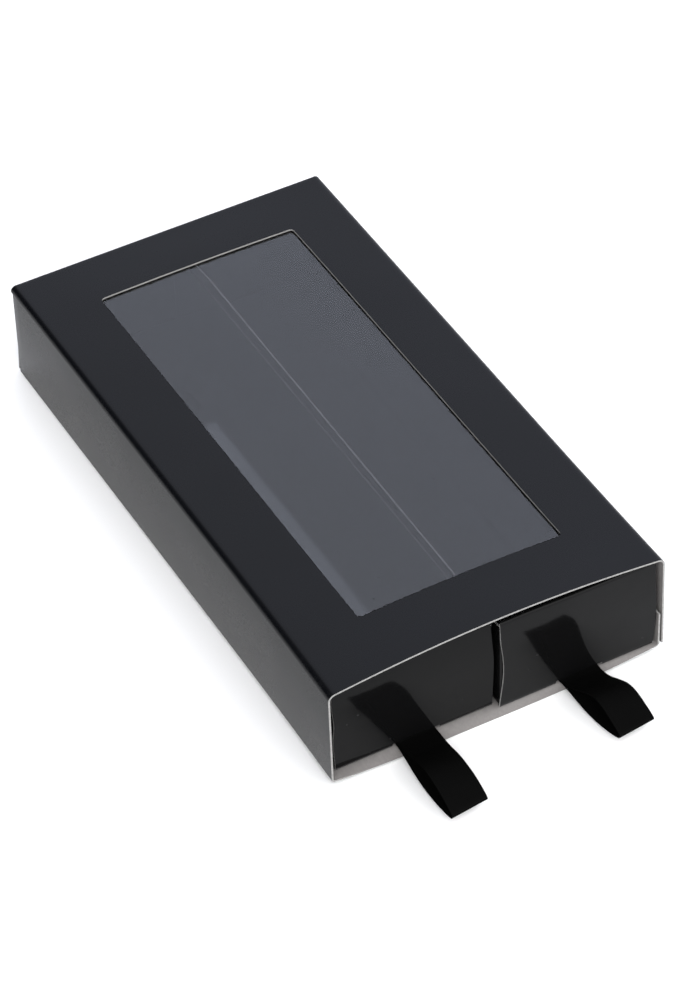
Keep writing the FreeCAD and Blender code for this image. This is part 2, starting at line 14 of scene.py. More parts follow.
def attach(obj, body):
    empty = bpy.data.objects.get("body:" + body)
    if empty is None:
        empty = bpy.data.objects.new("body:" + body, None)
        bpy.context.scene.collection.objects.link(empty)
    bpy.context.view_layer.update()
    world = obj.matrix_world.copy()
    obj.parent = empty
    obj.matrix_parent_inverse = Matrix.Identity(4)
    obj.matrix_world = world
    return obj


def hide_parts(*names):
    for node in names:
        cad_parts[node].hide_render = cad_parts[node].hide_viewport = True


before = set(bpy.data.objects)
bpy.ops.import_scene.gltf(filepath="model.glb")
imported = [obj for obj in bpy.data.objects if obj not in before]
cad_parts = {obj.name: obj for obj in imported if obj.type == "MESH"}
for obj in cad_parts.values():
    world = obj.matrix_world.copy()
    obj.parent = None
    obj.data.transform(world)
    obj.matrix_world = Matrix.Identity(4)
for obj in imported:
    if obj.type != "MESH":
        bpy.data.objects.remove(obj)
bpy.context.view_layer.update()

MM = 0.001

# ---------------------------------------------------------------- sizes, in millimetres

# Places that lie closer together than this count as the same place.
SLACK = 0.02
SLEEVE = {
    "half": 47.5,
    "mouth": -90.0,
    "back": 90.0,
    "top": 30.0,
    "card": 0.5,
    "fold": 0.55,
    "top_fold": 1.45,
}
SEAM_FLAP_X = 46.65
SEAM_FLAP_TOP = 11.1
SEAM_FLAP_CORNER = 4.0
# Where the tube of the sleeve ends, and the layers that close it, from the inside out.
BACK = {"tube": 88.4, "dust_flap": 88.65, "flap": 89.15, "corner": 89.55, "panel": 89.75}
BACK_PANEL_FOOT = 0.75
BACK_FLAP = {"top": 13.0, "taper": 0.96}
DUST_FLAP = {"length": 20.0, "taper": 0.86, "fold": 0.3}
WINDOW = {"left": -29.0, "right": 29.6, "front": -70.8, "back": 71.9, "round": 1.2}
FILM = {"width": 74.0, "length": 158.0, "thickness": 0.2, "below_top": 0.65}
# How high the top panel bows along its middle, as (place, height).
TOP_BULGE = [(-90.0, 3.1), (-71.0, 2.3), (0.0, 1.75), (71.0, 0.95), (88.9, 0.05)]
# The bottom panel curls down at the mouth. The curl's length changes between the two trays.
LIP_DROP = 1.9
LIP_CURL = {"left": 3.1, "right": 1.3, "from_x": -3.0, "over": 4.0}
# How far the sleeve's long sides stand out at the mouth. That fades along the box, and towards its middle
# across the last part of the top and bottom panels.
WALL_PUSH = {"left": 0.55, "right": 0.8, "seam": 0.3, "length": 60.0, "from_x": 38.0, "over": 9.0}
# What the right wall's push loses towards the top, and the left wall's own belly.
RIGHT_WALL_TOP_LOSS = 0.45
LEFT_WALL_BELLY = {"out": 0.25, "height": 23.0, "reach": 8.0}
TRAY = {
    "half": 22.7,
    "length": 175.5,
    "floor": 0.7,
    "top": 29.1,
    "side_top": 25.0,
    "card": 0.45,
    "fold": 0.45,
    "wall": 2.2,
    "layer": 0.6,
    "flap": 12.0,
    "flap_taper": 0.8,
    "flap_fold": 0.25,
    "roll_fold": 0.6,
}
TRAYS = {"left": {"middle": -23.0, "front": -87.6}, "right": {"middle": 23.45, "front": -89.3}}
# The ribbon's slot in the fold of a tray's front, from the tray's middle and from its face.
SLOT = {"left": -6.5, "right": 7.0, "depth": 1.75, "top": 1.8}
RIBBON = {"width": 10.8, "thickness": 0.35, "rib_pitch": 0.42, "thread_pitch": 0.26}
# A tray's front foot follows the curled bottom panel by this share, which fades out above the floor.
FOOT = {"share": 0.85, "from_z": 1.0, "over": 6.0}
# How far the top of a front panel leans back, and by what share more towards its left end. That grows up to
# the given share of the way to the end.
PANEL_LEAN = {"left": (0.9, 0.7), "right": (0.45, 1.5)}
PANEL_LEAN_REACH = 0.6
# How far the long wall next to the other tray leans at its front, and how much more at its back.
WALL_LEAN = {"left": (0.8, 0.0), "right": (1.3, 0.6)}
WALL_LEAN_ENDS = 13.0
# The long walls rise to the end walls at the tray's corners.
CORNER_RISE = {"height": 3.0, "length": 5.3}
# A tray's cut edges that are as dark as its print: how far from its face the long walls' top edges are, and
# above what height and how far from its face the upright ones are.
DARK_EDGES = {"top_length": 18.0, "upright_from_z": 20.0, "upright_depth": 5.0}
# How far a front panel's cut ends wander sideways, as (height, wander). The key's second part is true for
# the right end.
END_WAVES = {
    ("left", False): [(0.7, -0.1), (11.7, -0.5), (15.5, -0.1), (22.7, -0.4), (29.1, 0.0)],
    ("left", True): [(0.7, -0.3), (10.7, 0.15), (17, 0.3), (22, 0.05), (29.1, -0.25)],
    ("right", False): [(0.7, -0.6), (5, 0.0), (11.3, 0.75), (17.9, 0.6), (21.9, 0.15), (29.1, 0.05)],
    ("right", True): [(0.7, -0.5), (9.5, 0.4), (25, 0.05), (29.1, 0.0)],
}


def unit(value):
    """Keeps a share between 0 and 1."""
    return max(0.0, min(1.0, value))


def eased(here, there, lean_here, lean_there, share):
    """A point of the smooth curve from here to there that has these leans at its ends."""
    return (
        here * (1 + 2 * share) * (1 - share) ** 2
        + lean_here * share * (1 - share) ** 2
        + there * share**2 * (3 - 2 * share)
        + lean_there * share**2 * (share - 1)
    )


def smooth_through(points, at):
    """A smooth curve through a few (place, value) points, level past the ends."""
    if at <= points[0][0]:
        return points[0][1]
    if at >= points[-1][0]:
        return points[-1][1]
    slopes = [(after[1] - before[1]) / (after[0] - before[0]) for before, after in zip(points, points[1:])]
    leans = [slopes[0]] + [(a + b) / 2 for a, b in zip(slopes, slopes[1:])] + [slopes[-1]]
    i = next(i for i, (place, _) in enumerate(points[1:]) if at <= place)
    (x0, y0), (x1, y1) = points[i], points[i + 1]
    span = x1 - x0
    return eased(y0, y1, leans[i] * span, leans[i + 1] * span, (at - x0) / span)


def top_rise(x, y):
    """How far the top panel stands above its folds."""
    return smooth_through(TOP_BULGE, y) * max(0.0, 1 - (x / SLEEVE["half"]) ** 2)


def lip_drop(x, y):
    """How far the bottom panel curls down at the mouth, over a shorter length before the right tray."""
    to_right = unit((x - LIP_CURL["from_x"]) / LIP_CURL["over"])
    length = LIP_CURL["left"] + (LIP_CURL["right"] - LIP_CURL["left"]) * to_right
    share = max(0.0, 1 - (y - SLEEVE["mouth"]) / length)
    return LIP_DROP * share * share * max(0.0, 1 - abs(x / SLEEVE["half"]) ** 3)


def wall_push(p):
    """How far the sleeve's long sides stand out near the mouth."""
    share = max(0.0, 1 - (p.y - SLEEVE["mouth"]) / WALL_PUSH["length"])
    reach = unit((abs(p.x) - WALL_PUSH["from_x"]) / WALL_PUSH["over"])
    if p.x < 0:
        belly = max(0.0, 1 - ((p.z - LEFT_WALL_BELLY["height"]) / LEFT_WALL_BELLY["reach"]) ** 2)
        out = -WALL_PUSH["left"] - LEFT_WALL_BELLY["out"] * belly
    elif p.x < SEAM_FLAP_X + 0.1 and p.z < SEAM_FLAP_TOP + 0.1:
        out = WALL_PUSH["seam"]
    else:
        out = WALL_PUSH["right"] * (1 - RIGHT_WALL_TOP_LOSS * (p.z / SLEEVE["top"]) ** 4)
    return out * share * share * reach


def foot_drop(x, y, z):
    """How far a tray's front foot follows the bottom panel down."""
    return FOOT["share"] * lip_drop(x, y) * unit(1 - (z - FOOT["from_z"]) / FOOT["over"]) ** 2


def panel_lean(side, x, z):
    """How far the upper half of a tray's front panel leans back; x is from the tray's middle."""
    middle_z, half_height = (TRAY["top"] + TRAY["floor"]) / 2, (TRAY["top"] - TRAY["floor"]) / 2
    to_left = max(0.0, min(PANEL_LEAN_REACH, -x / TRAY["half"]))
    back, more_at_left = PANEL_LEAN[side]
    return back * (1 + more_at_left * to_left) * max(0.0, (z - middle_z) / half_height) ** 2


def wall_lean(side, p):
    """How far the long wall next to the other tray leans to the right; it stands upright at its ends."""
    floor_zone, wall_zone = 1.2, 1.3
    to_other_tray = p.x if side == "left" else -p.x
    if p.z < floor_zone or to_other_tray < TRAY["half"] - wall_zone:
        return 0.0
    from_front = p.y - TRAYS[side]["front"]
    ends = unit(min(from_front, TRAY["length"] - from_front) / WALL_LEAN_ENDS)
    at_front, more_at_back = WALL_LEAN[side]
    most = at_front + more_at_back * from_front / TRAY["length"]
    return most * (1 - (1 - ends) ** 2) * (p.z / TRAY["side_top"]) ** 1.5


def end_wave(side, x, z):
    """How far a front panel's cut ends wander sideways; it fades towards the panel's middle."""
    return smooth_through(END_WAVES[side, x > 0], z) * (x / TRAY["half"]) ** 6


# ---------------------------------------------------------------- materials


class Wire:
    """One output socket of a node. Arithmetic on it adds the Math nodes."""

    def __init__(self, nodes, socket):
        self.nodes = nodes
        self.socket = socket

    def _math(self, operation, *values):
        return self.nodes.add("ShaderNodeMath", {"operation": operation}, dict(enumerate(values)))

    def __add__(self, other):
        return self._math("ADD", self, other)

    def __sub__(self, other):
        return self._math("SUBTRACT", self, other)

    def __rsub__(self, other):
        return self._math("SUBTRACT", other, self)

    def __mul__(self, other):
        return self._math("MULTIPLY", self, other)

    def __truediv__(self, other):
        return self._math("DIVIDE", self, other)

    def size(self):
        return self._math("ABSOLUTE", self)

    def wave(self):
        return self._math("SINE", self)

    def ramp(self, low, high):
        """Runs smoothly from 0 at low to 1 at high."""
        values = {"Value": self, "From Min": low, "From Max": high}
        return self.nodes.add("ShaderNodeMapRange", {"interpolation_type": "SMOOTHSTEP"}, values)


class Nodes:
    """Adds nodes to one tree."""

    def __init__(self, tree):
        self.tree = tree

    def feed(self, socket, value):
        if isinstance(value, Wire):
            self.tree.links.new(value.socket, socket)
        else:
            socket.default_value = value

    def add(self, kind, settings=None, values=None, output=0):
        made = self.tree.nodes.new(kind)
        for name, setting in (settings or {}).items():
            setattr(made, name, setting)
        for name, value in (values or {}).items():
            self.feed(made.inputs[name], value)
        return Wire(self, made.outputs[output])

    def vector_math(self, operation, values, output=0):
        return self.add("ShaderNodeVectorMath", {"operation": operation}, values, output)

    def place(self, output="Object"):
        return self.add("ShaderNodeTexCoord", output=output)


class Finish(Nodes):
    """One material, made from nodes."""

    def __init__(self, name):
        self.material = bpy.data.materials.new(name)
        self.material.use_nodes = True
        super().__init__(self.material.node_tree)
        self.tree.nodes.clear()

    def axes(self, place):
        made = self.tree.nodes.new("ShaderNodeSeparateXYZ")
        self.feed(made.inputs[0], place)
        return [Wire(self, made.outputs[i]) for i in range(3)]

    def grain(self, place, scale, detail, roughness=0.5, stretch=(1, 1, 1)):
        """Noise between 0 and 1, with about scale lumps to the metre."""
        stretched = self.add("ShaderNodeMapping", values={"Vector": place, "Scale": stretch})
        values = {"Vector": stretched, "Scale": scale, "Detail": detail, "Roughness": roughness}
        return self.add("ShaderNodeTexNoise", values=values)

    def blend(self, share, first, second):
        """Mixes two colours."""
        return self.add("ShaderNodeMix", {"data_type": "RGBA"}, {0: share, 6: first, 7: second}, output=2)

    def bump(self, height, distance):
        values = {"Height": height, "Distance": distance, "Strength": 1.0}
        return self.add("ShaderNodeBump", values=values)

    def surface(self, **values):
        """Ends the material; the values are the shader's inputs, named with underscores."""
        inputs = {}
        for name, value in values.items():
            inputs[name.replace("_", " ").title().replace("Ior", "IOR")] = value
        shader = self.add("ShaderNodeBsdfPrincipled", values=inputs)
        output = self.tree.nodes.new("ShaderNodeOutputMaterial")
        self.tree.links.new(shader.socket, output.inputs["Surface"])
        return self.material


def colour(red, green, blue):
    return (red, green, blue, 1.0)


def make_printed_sleeve():
    """Black satin coating: a fine tooth, faint cloudiness in its sheen and slightly rubbed folds."""
    finish = Finish("printed_sleeve")
    place = finish.place()
    tooth = finish.grain(place, 2600, 2)
    cloud = finish.grain(place, 45, 3)
    sway = finish.grain(place, 28, 1)
    rub = finish.grain(place, 380, 4, 0.7)
    x, _, z = finish.axes(place)
    half_width, half_height = SLEEVE["half"] * MM, SLEEVE["top"] / 2 * MM
    side = x.size().ramp(half_width - 0.7 * MM, half_width - 0.1 * MM)
    rim = side * (z - half_height).size().ramp(half_height - 0.8 * MM, half_height - 0.1 * MM)
    worn = rim * rub.ramp(0.52, 0.75) * 0.35
    return finish.surface(
        base_color=finish.blend(worn, colour(0.0024, 0.0026, 0.0033), colour(0.040, 0.040, 0.041)),
        roughness=cloud * 0.05 + tooth * 0.05 + 0.23,
        specular_ior_level=0.12,
        normal=finish.bump(tooth * 0.25 + sway * 30, 0.000012),
    )


def make_unprinted_board(name, tint, fibre_scale, depth=0.18):
    """Bare card: matt and full of fibres, which darken its tint by a share of depth."""
    finish = Finish(name)
    place = finish.place()
    fibre = finish.grain(place, fibre_scale, 5, 0.65, (1, 0.35, 1))
    fleck = finish.grain(place, 900, 3, 0.6)
    shade = [part * (1 - depth) for part in tint]
    mottle = fibre.ramp(0.3, 0.7) * 0.6 + fleck.ramp(0.35, 0.75) * 0.3
    return finish.surface(
        base_color=finish.blend(mottle, colour(*tint), colour(*shade)),
        roughness=0.78,
        specular_ior_level=0.25,
        normal=finish.bump(fibre, 0.00003),
    )


def make_printed_tray(name, gloss, blur, waves, foot_painted_light=0.0):
    """Black coating of the trays, with dust, slight waves and painted light: the foot is painted lighter.
    """
    finish = Finish(name)
    place = finish.place()
    height = finish.axes(place)[2]
    sway = finish.grain(place, 60, 2)
    tooth = finish.grain(place, 2200, 2)
    dust = finish.grain(place, 620, 1).ramp(0.79, 0.81)
    # Painted light: below 1.7 mm the coating is painted lighter, standing in for the light at the front
    # panel's foot.
    foot = 1 - height.ramp(1.0 * MM, 1.7 * MM)
    return finish.surface(
        base_color=finish.blend(
            dust * 0.2 + foot * foot_painted_light, colour(0.0028, 0.0028, 0.0029), colour(0.06, 0.06, 0.06)
        ),
        roughness=tooth * 0.03 + blur,
        specular_ior_level=gloss,
        normal=finish.bump(sway, waves),
    )


def make_film():
    """Clear film: glossy, faintly rippled."""
    finish = Finish("clear_film")
    sway = finish.grain(finish.place(), 22, 1)
    return finish.surface(
        base_color=colour(0.95, 0.97, 1.0),
        roughness=0.015,
        ior=1.33,
        transmission_weight=1.0,
        normal=finish.bump(sway, 0.0001),
    )


def make_glue():
    """Dried glue: yellowish and lumpy."""
    finish = Finish("dry_glue")
    lumps = finish.grain(finish.place(), 900, 3)
    return finish.surface(
        base_color=finish.blend(lumps, colour(0.62, 0.58, 0.47), colour(0.75, 0.71, 0.60)),
        roughness=lumps * 0.2 + 0.4,
        normal=finish.bump(lumps, 0.00005),
    )


def make_tape():
    """Pale tape with fine streaks along it."""
    finish = Finish("clear_tape")
    streaks = finish.grain(finish.place(), 700, 3, 0.5, (0.1, 1, 1))
    return finish.surface(
        base_color=finish.blend(streaks, colour(0.66, 0.65, 0.60), colour(0.78, 0.77, 0.72)),
        roughness=streaks * 0.15 + 0.2,
        normal=finish.bump(streaks, 0.00003),
    )


def make_ribbon(name, sheen):
    """Black grosgrain: fine ribs across the ribbon and a denser selvage along its edges."""
    finish = Finish(name)
    across, along, _ = finish.axes(finish.place("UV"))
    ribs = (along * 2 * math.pi / (RIBBON["rib_pitch"] * MM)).wave() * 0.5 + 0.5
    threads = (across * 2 * math.pi / (RIBBON["thread_pitch"] * MM)).wave() * 0.5 + 0.5
    half_width = RIBBON["width"] * MM / 2
    selvage = (across - half_width).size().ramp(half_width - 0.3 * MM, half_width - 0.1 * MM)
    fuzz = finish.grain(finish.place(), 3000, 3, 0.7)
    height = ribs * (1 - selvage) * 0.7 + threads * 0.25 + fuzz * 0.25
    return finish.surface(
        base_color=finish.blend(
            ribs * 0.5 + fuzz * 0.5, colour(0.0013, 0.0013, 0.0013), colour(0.0024, 0.0024, 0.0023)
        ),
        roughness=fuzz * 0.12 + 0.5,
        specular_ior_level=sheen,
        normal=finish.bump(height, 0.00004),
    )


# ---------------------------------------------------------------- modelling by hand


def leave_all():
    """Leaves editing, with nothing selected."""
    if bpy.context.object and bpy.context.object.mode != "OBJECT":
        bpy.ops.object.mode_set(mode="OBJECT")
    bpy.ops.object.select_all(action="DESELECT")


def take(piece):
    """Makes a piece the only selected and active one."""
    leave_all()
    piece.select_set(True)
    bpy.context.view_layer.objects.active = piece


def begin(name, size):
    """Names the primitive that was just added and gives it its size, place and turn."""
    piece = bpy.context.active_object
    piece.scale = size
    piece.name = piece.data.name = name
    bpy.ops.object.transform_apply(location=True, rotation=True, scale=True)
    return piece


def add_panel(name, centre, size, turn=(0, 0, 0)):
    """A flat panel, opened for editing. Its size is along its own two edges before the turn."""
    leave_all()
    bpy.ops.mesh.primitive_plane_add(size=1, location=centre, rotation=turn)
    piece = begin(name, (*size, 1))
    bpy.ops.object.mode_set(mode="EDIT")
    return piece


def add_block(name, low, high):
    """A block between two corners, opened for editing."""
    leave_all()
    bpy.ops.mesh.primitive_cube_add(size=1, location=[(a + b) / 2 for a, b in zip(low, high)])
    piece = begin(name, [b - a for a, b in zip(low, high)])
    bpy.ops.object.mode_set(mode="EDIT")
    return piece


def add_grid(name, cells, size):
    """A flat grid of cells about the origin."""
    leave_all()
    bpy.ops.mesh.primitive_grid_add(x_subdivisions=cells[0], y_subdivisions=cells[1], size=1)
    return begin(name, (*size, 1))


def pick(kind, test):
    """In edit mode, selects the VERTs, EDGEs or FACEs all of whose corners pass the test."""
    bpy.ops.mesh.select_mode(type=kind)
    bpy.ops.mesh.select_all(action="DESELECT")
    mesh = bpy.context.edit_object.data
    shape = bmesh.from_edit_mesh(mesh)
    items = {"VERT": shape.verts, "EDGE": shape.edges, "FACE": shape.faces}[kind]
    for item in items:
        corners = [item] if kind == "VERT" else item.verts
        item.select_set(all(test(corner.co) for corner in corners))
    shape.select_flush_mode()
    bmesh.update_edit_mesh(mesh)


def near(value, target, slack=SLACK):
    return abs(value - target) < slack


def pull(*step):
    """Extrudes the selected edges by a step."""
    bpy.ops.mesh.extrude_edges_move(TRANSFORM_OT_translate={"value": step})


def scale_picked(x=1, y=1, z=1):
    """Scales what is selected about its own middle."""
    bpy.ops.transform.resize(value=(x, y, z))


def crease(test, radius, segments=3):
    """Rounds the fold edges that pass the test."""
    pick("EDGE", test)
    bpy.ops.mesh.bevel(
        offset=radius, offset_type="OFFSET", segments=segments, affect="EDGES", clamp_overlap=False
    )


def slice_at(*cuts):
    """Cuts the whole mesh along planes, each given as an axis letter and a place."""
    for axis, place in cuts:
        pick("FACE", lambda point: True)
        through, normal = [0, 0, 0], [0, 0, 0]
        through["xyz".index(axis)], normal["xyz".index(axis)] = place, 1
        bpy.ops.mesh.bisect(plane_co=through, plane_no=normal)


def close_sheet():
    """Joins doubled points, turns all faces the same way and leaves editing."""
    bpy.ops.mesh.select_all(action="SELECT")
    bpy.ops.mesh.remove_doubles(threshold=0.001)
    bpy.ops.mesh.normals_make_consistent(inside=False)
    bpy.ops.object.mode_set(mode="OBJECT")


def shape_points(piece, move):
    """Moves each vertex by what move gives for it."""
    for vertex in piece.data.vertices:
        vertex.co += Vector(move(vertex.co))


def add_modifier(piece, kind, **settings):
    """Adds a modifier and applies it."""
    take(piece)
    made = piece.modifiers.new(kind.title(), kind)
    for name, setting in settings.items():
        setattr(made, name, setting)
    bpy.ops.object.modifier_apply(modifier=made.name)


def cut_out(piece, cutter, cut_material):
    """Takes the cutter's volume out of the piece and gives the cut faces a material."""
    leave_all()
    cutter.data.materials.append(cut_material)
    settings = {"operation": "DIFFERENCE", "solver": "EXACT", "material_mode": "TRANSFER"}
    add_modifier(piece, "BOOLEAN", object=cutter, **settings)
    bpy.data.objects.remove(cutter)


def thicken(piece, thickness, outer, inner, rim):
    """Gives a folded sheet its card: outer face, inner face and cut edge have materials of their own."""
    for material in (outer, inner, rim):
        piece.data.materials.append(material)
    add_modifier(
        piece,
        "SOLIDIFY",
        thickness=thickness,
        offset=0,
        use_even_offset=True,
        use_quality_normals=True,
        material_offset=1,
        material_offset_rim=2,
    )


def finish_piece(piece, body, slot, *replaced, angle=35):
    """Scales a finished piece to metres and hands it to the frame."""
    piece.data.transform(Matrix.Scale(MM, 4))
    take(piece)
    bpy.ops.object.shade_smooth_by_angle(angle=math.radians(angle))
    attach(piece, body)
    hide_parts(*replaced)


# ---------------------------------------------------------------- sleeve


def make_sleeve(printed, bare, raw, cut):
    """One sheet of card: glue flap, bottom, left wall, top and right wall, with the back's four flaps."""
    half, card, fold, top_fold = SLEEVE["half"], SLEEVE["card"], SLEEVE["fold"], SLEEVE["top_fold"]
    mouth, tube_end = SLEEVE["mouth"], BACK["tube"]
    middle = half - card / 2
    low, high = card / 2, SLEEVE["top"] - card / 2
    piece = add_panel(
        "sleeve_card",
        (SEAM_FLAP_X, (tube_end + mouth) / 2, (SEAM_FLAP_TOP + low) / 2),
        (SEAM_FLAP_TOP - low, tube_end - mouth),
        (0, math.pi / 2, 0),
    )
    pick("EDGE", lambda p: near(p.z, low))
    pull(-SEAM_FLAP_X - middle, 0, 0)
    pull(0, 0, high - low)
    pull(2 * middle, 0, 0)
    pull(0, 0, card - high)
    # The glue flap's free corner at the back is cut away.
    pick("VERT", lambda p: near(p.x, SEAM_FLAP_X) and near(p.z, SEAM_FLAP_TOP) and p.y > 0)
    bpy.ops.transform.translate(value=(0, -SEAM_FLAP_CORNER, 0))

    # Long folds.
    crease(lambda p: near(p.z, high) and abs(p.x) > middle - 0.1, top_fold, 5)
    crease(lambda p: near(p.z, low) and p.x < 0.1 - middle, fold)
    crease(lambda p: near(p.z, low) and near(p.x, SEAM_FLAP_X), fold)

    def at_end(p):
        return near(p.y, tube_end)

    # Back panel, widened from the flat of the top panel to the whole box at its foot.
    pick("EDGE", lambda p: at_end(p) and near(p.z, high) and abs(p.x) <= middle - top_fold + SLACK)
    pull(0, BACK["panel"] - tube_end, 0)
    pull(0, 0, BACK_PANEL_FOOT - high)
    pick("VERT", lambda p: near(p.y, BACK["panel"]) and near(p.z, BACK_PANEL_FOOT))
    scale_picked(x=middle / (middle - top_fold))

    # Ends of the top panel's rounded folds.
    for side in (-1, 1):
        round_x, round_z = middle - top_fold - SLACK, high - top_fold - SLACK
        pick("EDGE", lambda p: at_end(p) and p.z > round_z and side * p.x > round_x)
        pull(0, BACK["corner"] - tube_end, 0)

    # Bottom panel's flap, narrower at its top.
    flap_left, flap_right = fold - middle - SLACK, SEAM_FLAP_X - fold + SLACK
    pick("EDGE", lambda p: at_end(p) and near(p.z, low) and flap_left <= p.x <= flap_right)
    pull(0, BACK["flap"] - tube_end, 0)
    pull(0, 0, BACK_FLAP["top"] - low)
    pick("VERT", lambda p: near(p.y, BACK["flap"]) and near(p.z, BACK_FLAP["top"]))
    scale_picked(x=BACK_FLAP["taper"])

    # Dust flaps, lower at their free ends.
    flap_y, free_end = BACK["dust_flap"], middle - DUST_FLAP["length"]
    for side in (-1, 1):
        pick("EDGE", lambda p: at_end(p) and near(p.x, side * middle))
        pull(0, flap_y - tube_end, 0)
        pull(-side * DUST_FLAP["length"], 0, 0)
        pick("VERT", lambda p: near(p.y, flap_y) and near(p.x, side * free_end))
        scale_picked(z=DUST_FLAP["taper"])
        crease(lambda p: near(p.y, flap_y) and near(p.x, side * middle), DUST_FLAP["fold"], 2)
    crease(lambda p: near(p.y, BACK["panel"]) and near(p.z, high), fold)
    crease(lambda p: near(p.y, BACK["flap"]) and near(p.z, low), fold)

    # Rows and columns that carry the bulges, closer together in the curl at the mouth.
    rows = [("y", mouth + 4.5 * step) for step in range(1, 40)]
    rows += [("y", mouth + behind) for behind in (0.3, 0.6, 0.9, 1.3, 1.7, 2.2, 2.8, 3.5)]
    columns = [("x", -45 + 5 * step) for step in range(0, 19)]
    slice_at(*rows, *columns)
    close_sheet()

    def bulge(p):
        on_top = unit((p.z - (high - top_fold)) / top_fold)
        drop = lip_drop(p.x, p.y) if p.z < low + 0.01 else 0.0
        return (wall_push(p), 0, top_rise(p.x, p.y) * on_top - drop)

    shape_points(piece, bulge)
    thicken(piece, card, printed, bare, raw)

    window = add_block(
        "window_cutter",
        (WINDOW["left"], WINDOW["front"], SLEEVE["top"] - 10),
        (WINDOW["right"], WINDOW["back"], SLEEVE["top"] + 10),
    )
    for across in (WINDOW["left"], WINDOW["right"]):
        for along in (WINDOW["front"], WINDOW["back"]):
            crease(lambda p: near(p.x, across) and near(p.y, along), WINDOW["round"], 5)
    cut_out(piece, window, cut)
    finish_piece(piece, "sleeve_shell", "sleeve_card", "sleeve")


def make_film_sheet(clear):
    """The window's film, glued under the top panel."""
    piece = add_grid("window_film_sheet", (24, 50), (FILM["width"], FILM["length"]))
    level = SLEEVE["top"] - FILM["below_top"] - FILM["thickness"] / 2
    shape_points(piece, lambda p: (0, 0, level + top_rise(p.x, p.y)))
    piece.data.materials.append(clear)
    add_modifier(piece, "SOLIDIFY", thickness=FILM["thickness"], offset=0)
    finish_piece(piece, "sleeve_shell", "clear_film", "window_film")


# ---------------------------------------------------------------- trays


